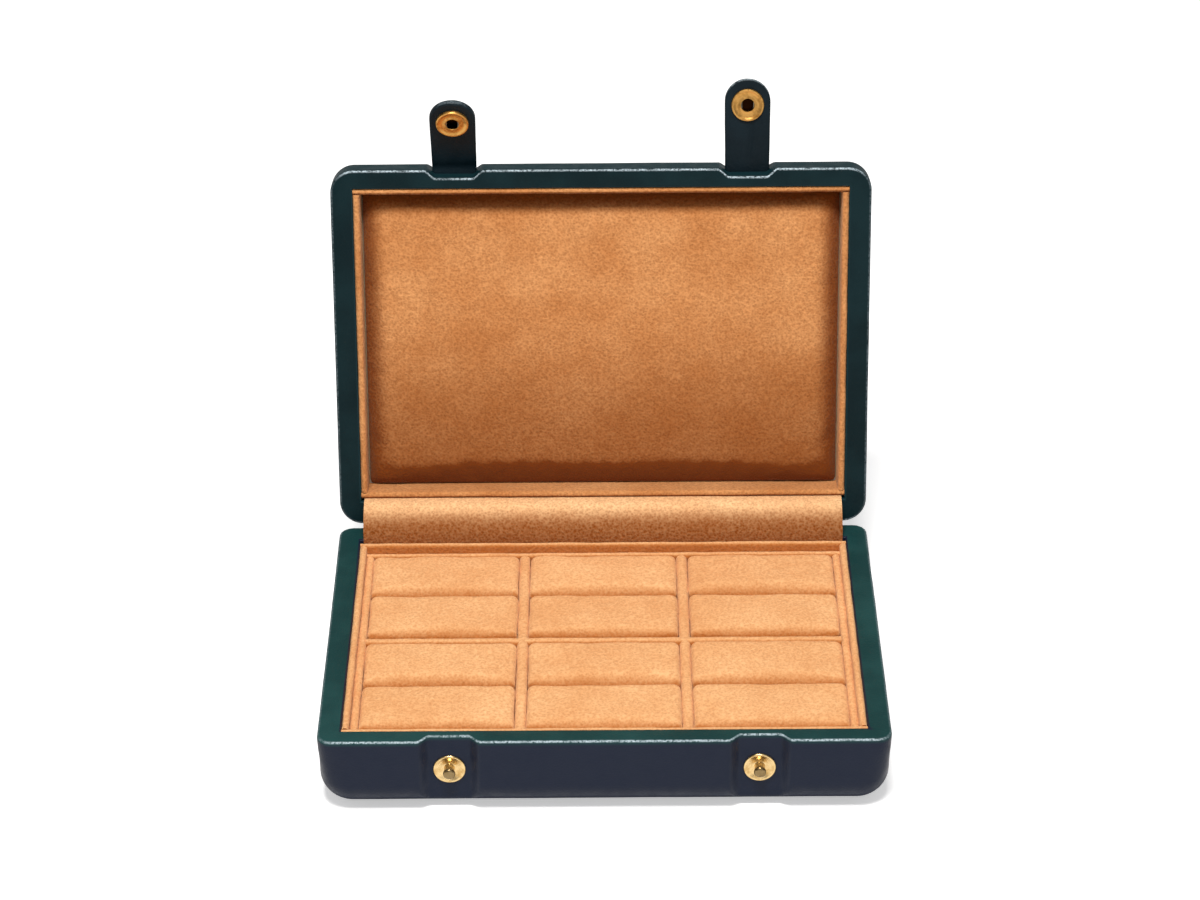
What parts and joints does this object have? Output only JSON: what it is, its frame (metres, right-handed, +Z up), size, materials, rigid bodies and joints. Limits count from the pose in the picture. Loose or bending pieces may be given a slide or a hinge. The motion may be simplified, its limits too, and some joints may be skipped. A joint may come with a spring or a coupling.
{
  "type": "cufflink box",
  "caption": "Low rectangular leather-covered box with a hinged lid held by snap straps, lined in suede, with a divided tray of padded rolls that grip cufflinks.",
  "frame": {"origin": "centre of the base's underside, on the surface that the box stands on", "axes": "+X to the right, +Y back towards the hinge, +Z up"},
  "size_m": [0.165, 0.1546, 0.1613],
  "materials": {
    "leather": "smooth fine-grained calf leather, dark blue-green, slightly glossy",
    "suede": "short-nap tan suede",
    "underside": "matt leather-covered panel",
    "wood": "planed softwood, hidden",
    "board": "grey-brown card, hidden",
    "brass": "bright, lightly rubbed brass",
    "spring_steel": "drawn wire"
  },
  "bodies": {
    "base": {"base_carcass": "wood", "base_leather": "leather", "base_liner_back": "suede", "base_liner_front": "suede", "base_liner_left": "suede", "base_liner_right": "suede", "base_underside": "underside", "hinge_gusset": "suede", "hinge_spine": "leather", "roll_row1_col1": "suede", "roll_row1_col2": "suede", "roll_row1_col3": "suede", "roll_row2_col1": "suede", "roll_row2_col2": "suede", "roll_row2_col3": "suede", "roll_row3_col1": "suede", "roll_row3_col2": "suede", "roll_row3_col3": "suede", "roll_row4_col1": "suede", "roll_row4_col2": "suede", "roll_row4_col3": "suede", "stud_left": "brass", "stud_right": "brass", "stud_rivet_left": "brass", "stud_rivet_right": "brass", "tray_divider_cross1": "suede", "tray_divider_cross2": "suede", "tray_divider_long": "suede", "tray_floor": "suede", "tray_wall_back": "suede", "tray_wall_front": "suede", "tray_wall_left": "suede", "tray_wall_right": "suede"},
    "lid": {"lid_carcass": "wood", "lid_cushion": "suede", "lid_cushion_board": "board", "lid_leather": "leather", "lid_liner_back": "suede", "lid_liner_front": "suede", "lid_liner_left": "suede", "lid_liner_right": "suede", "strap_root_left": "leather", "strap_root_right": "leather"},
    "strap_left": {"cap_left": "brass", "socket_left": "brass", "spring_left": "spring_steel", "strap_left": "leather"},
    "strap_right": {"cap_right": "brass", "socket_right": "brass", "spring_right": "spring_steel", "strap_right": "leather"}
  },
  "joints": [
    {"name": "lid_hinge", "type": "hinge", "parent": "base", "child": "lid", "pos_m": [0, 0.0575, 0.02565], "axis": [1, 0, 0], "range_deg": [0, 103], "deforming": ["hinge_gusset", "hinge_spine"]},
    {"name": "strap_left_bend", "type": "hinge", "parent": "lid", "child": "strap_left", "pos_m": [-0.0447, 0.0899, 0.13553], "axis": [1, 0, 0], "range_deg": [-45, 60]},
    {"name": "strap_right_bend", "type": "hinge", "parent": "lid", "child": "strap_right", "pos_m": [0.0447, 0.0899, 0.13553], "axis": [1, 0, 0], "range_deg": [-15, 90]}
  ]
}
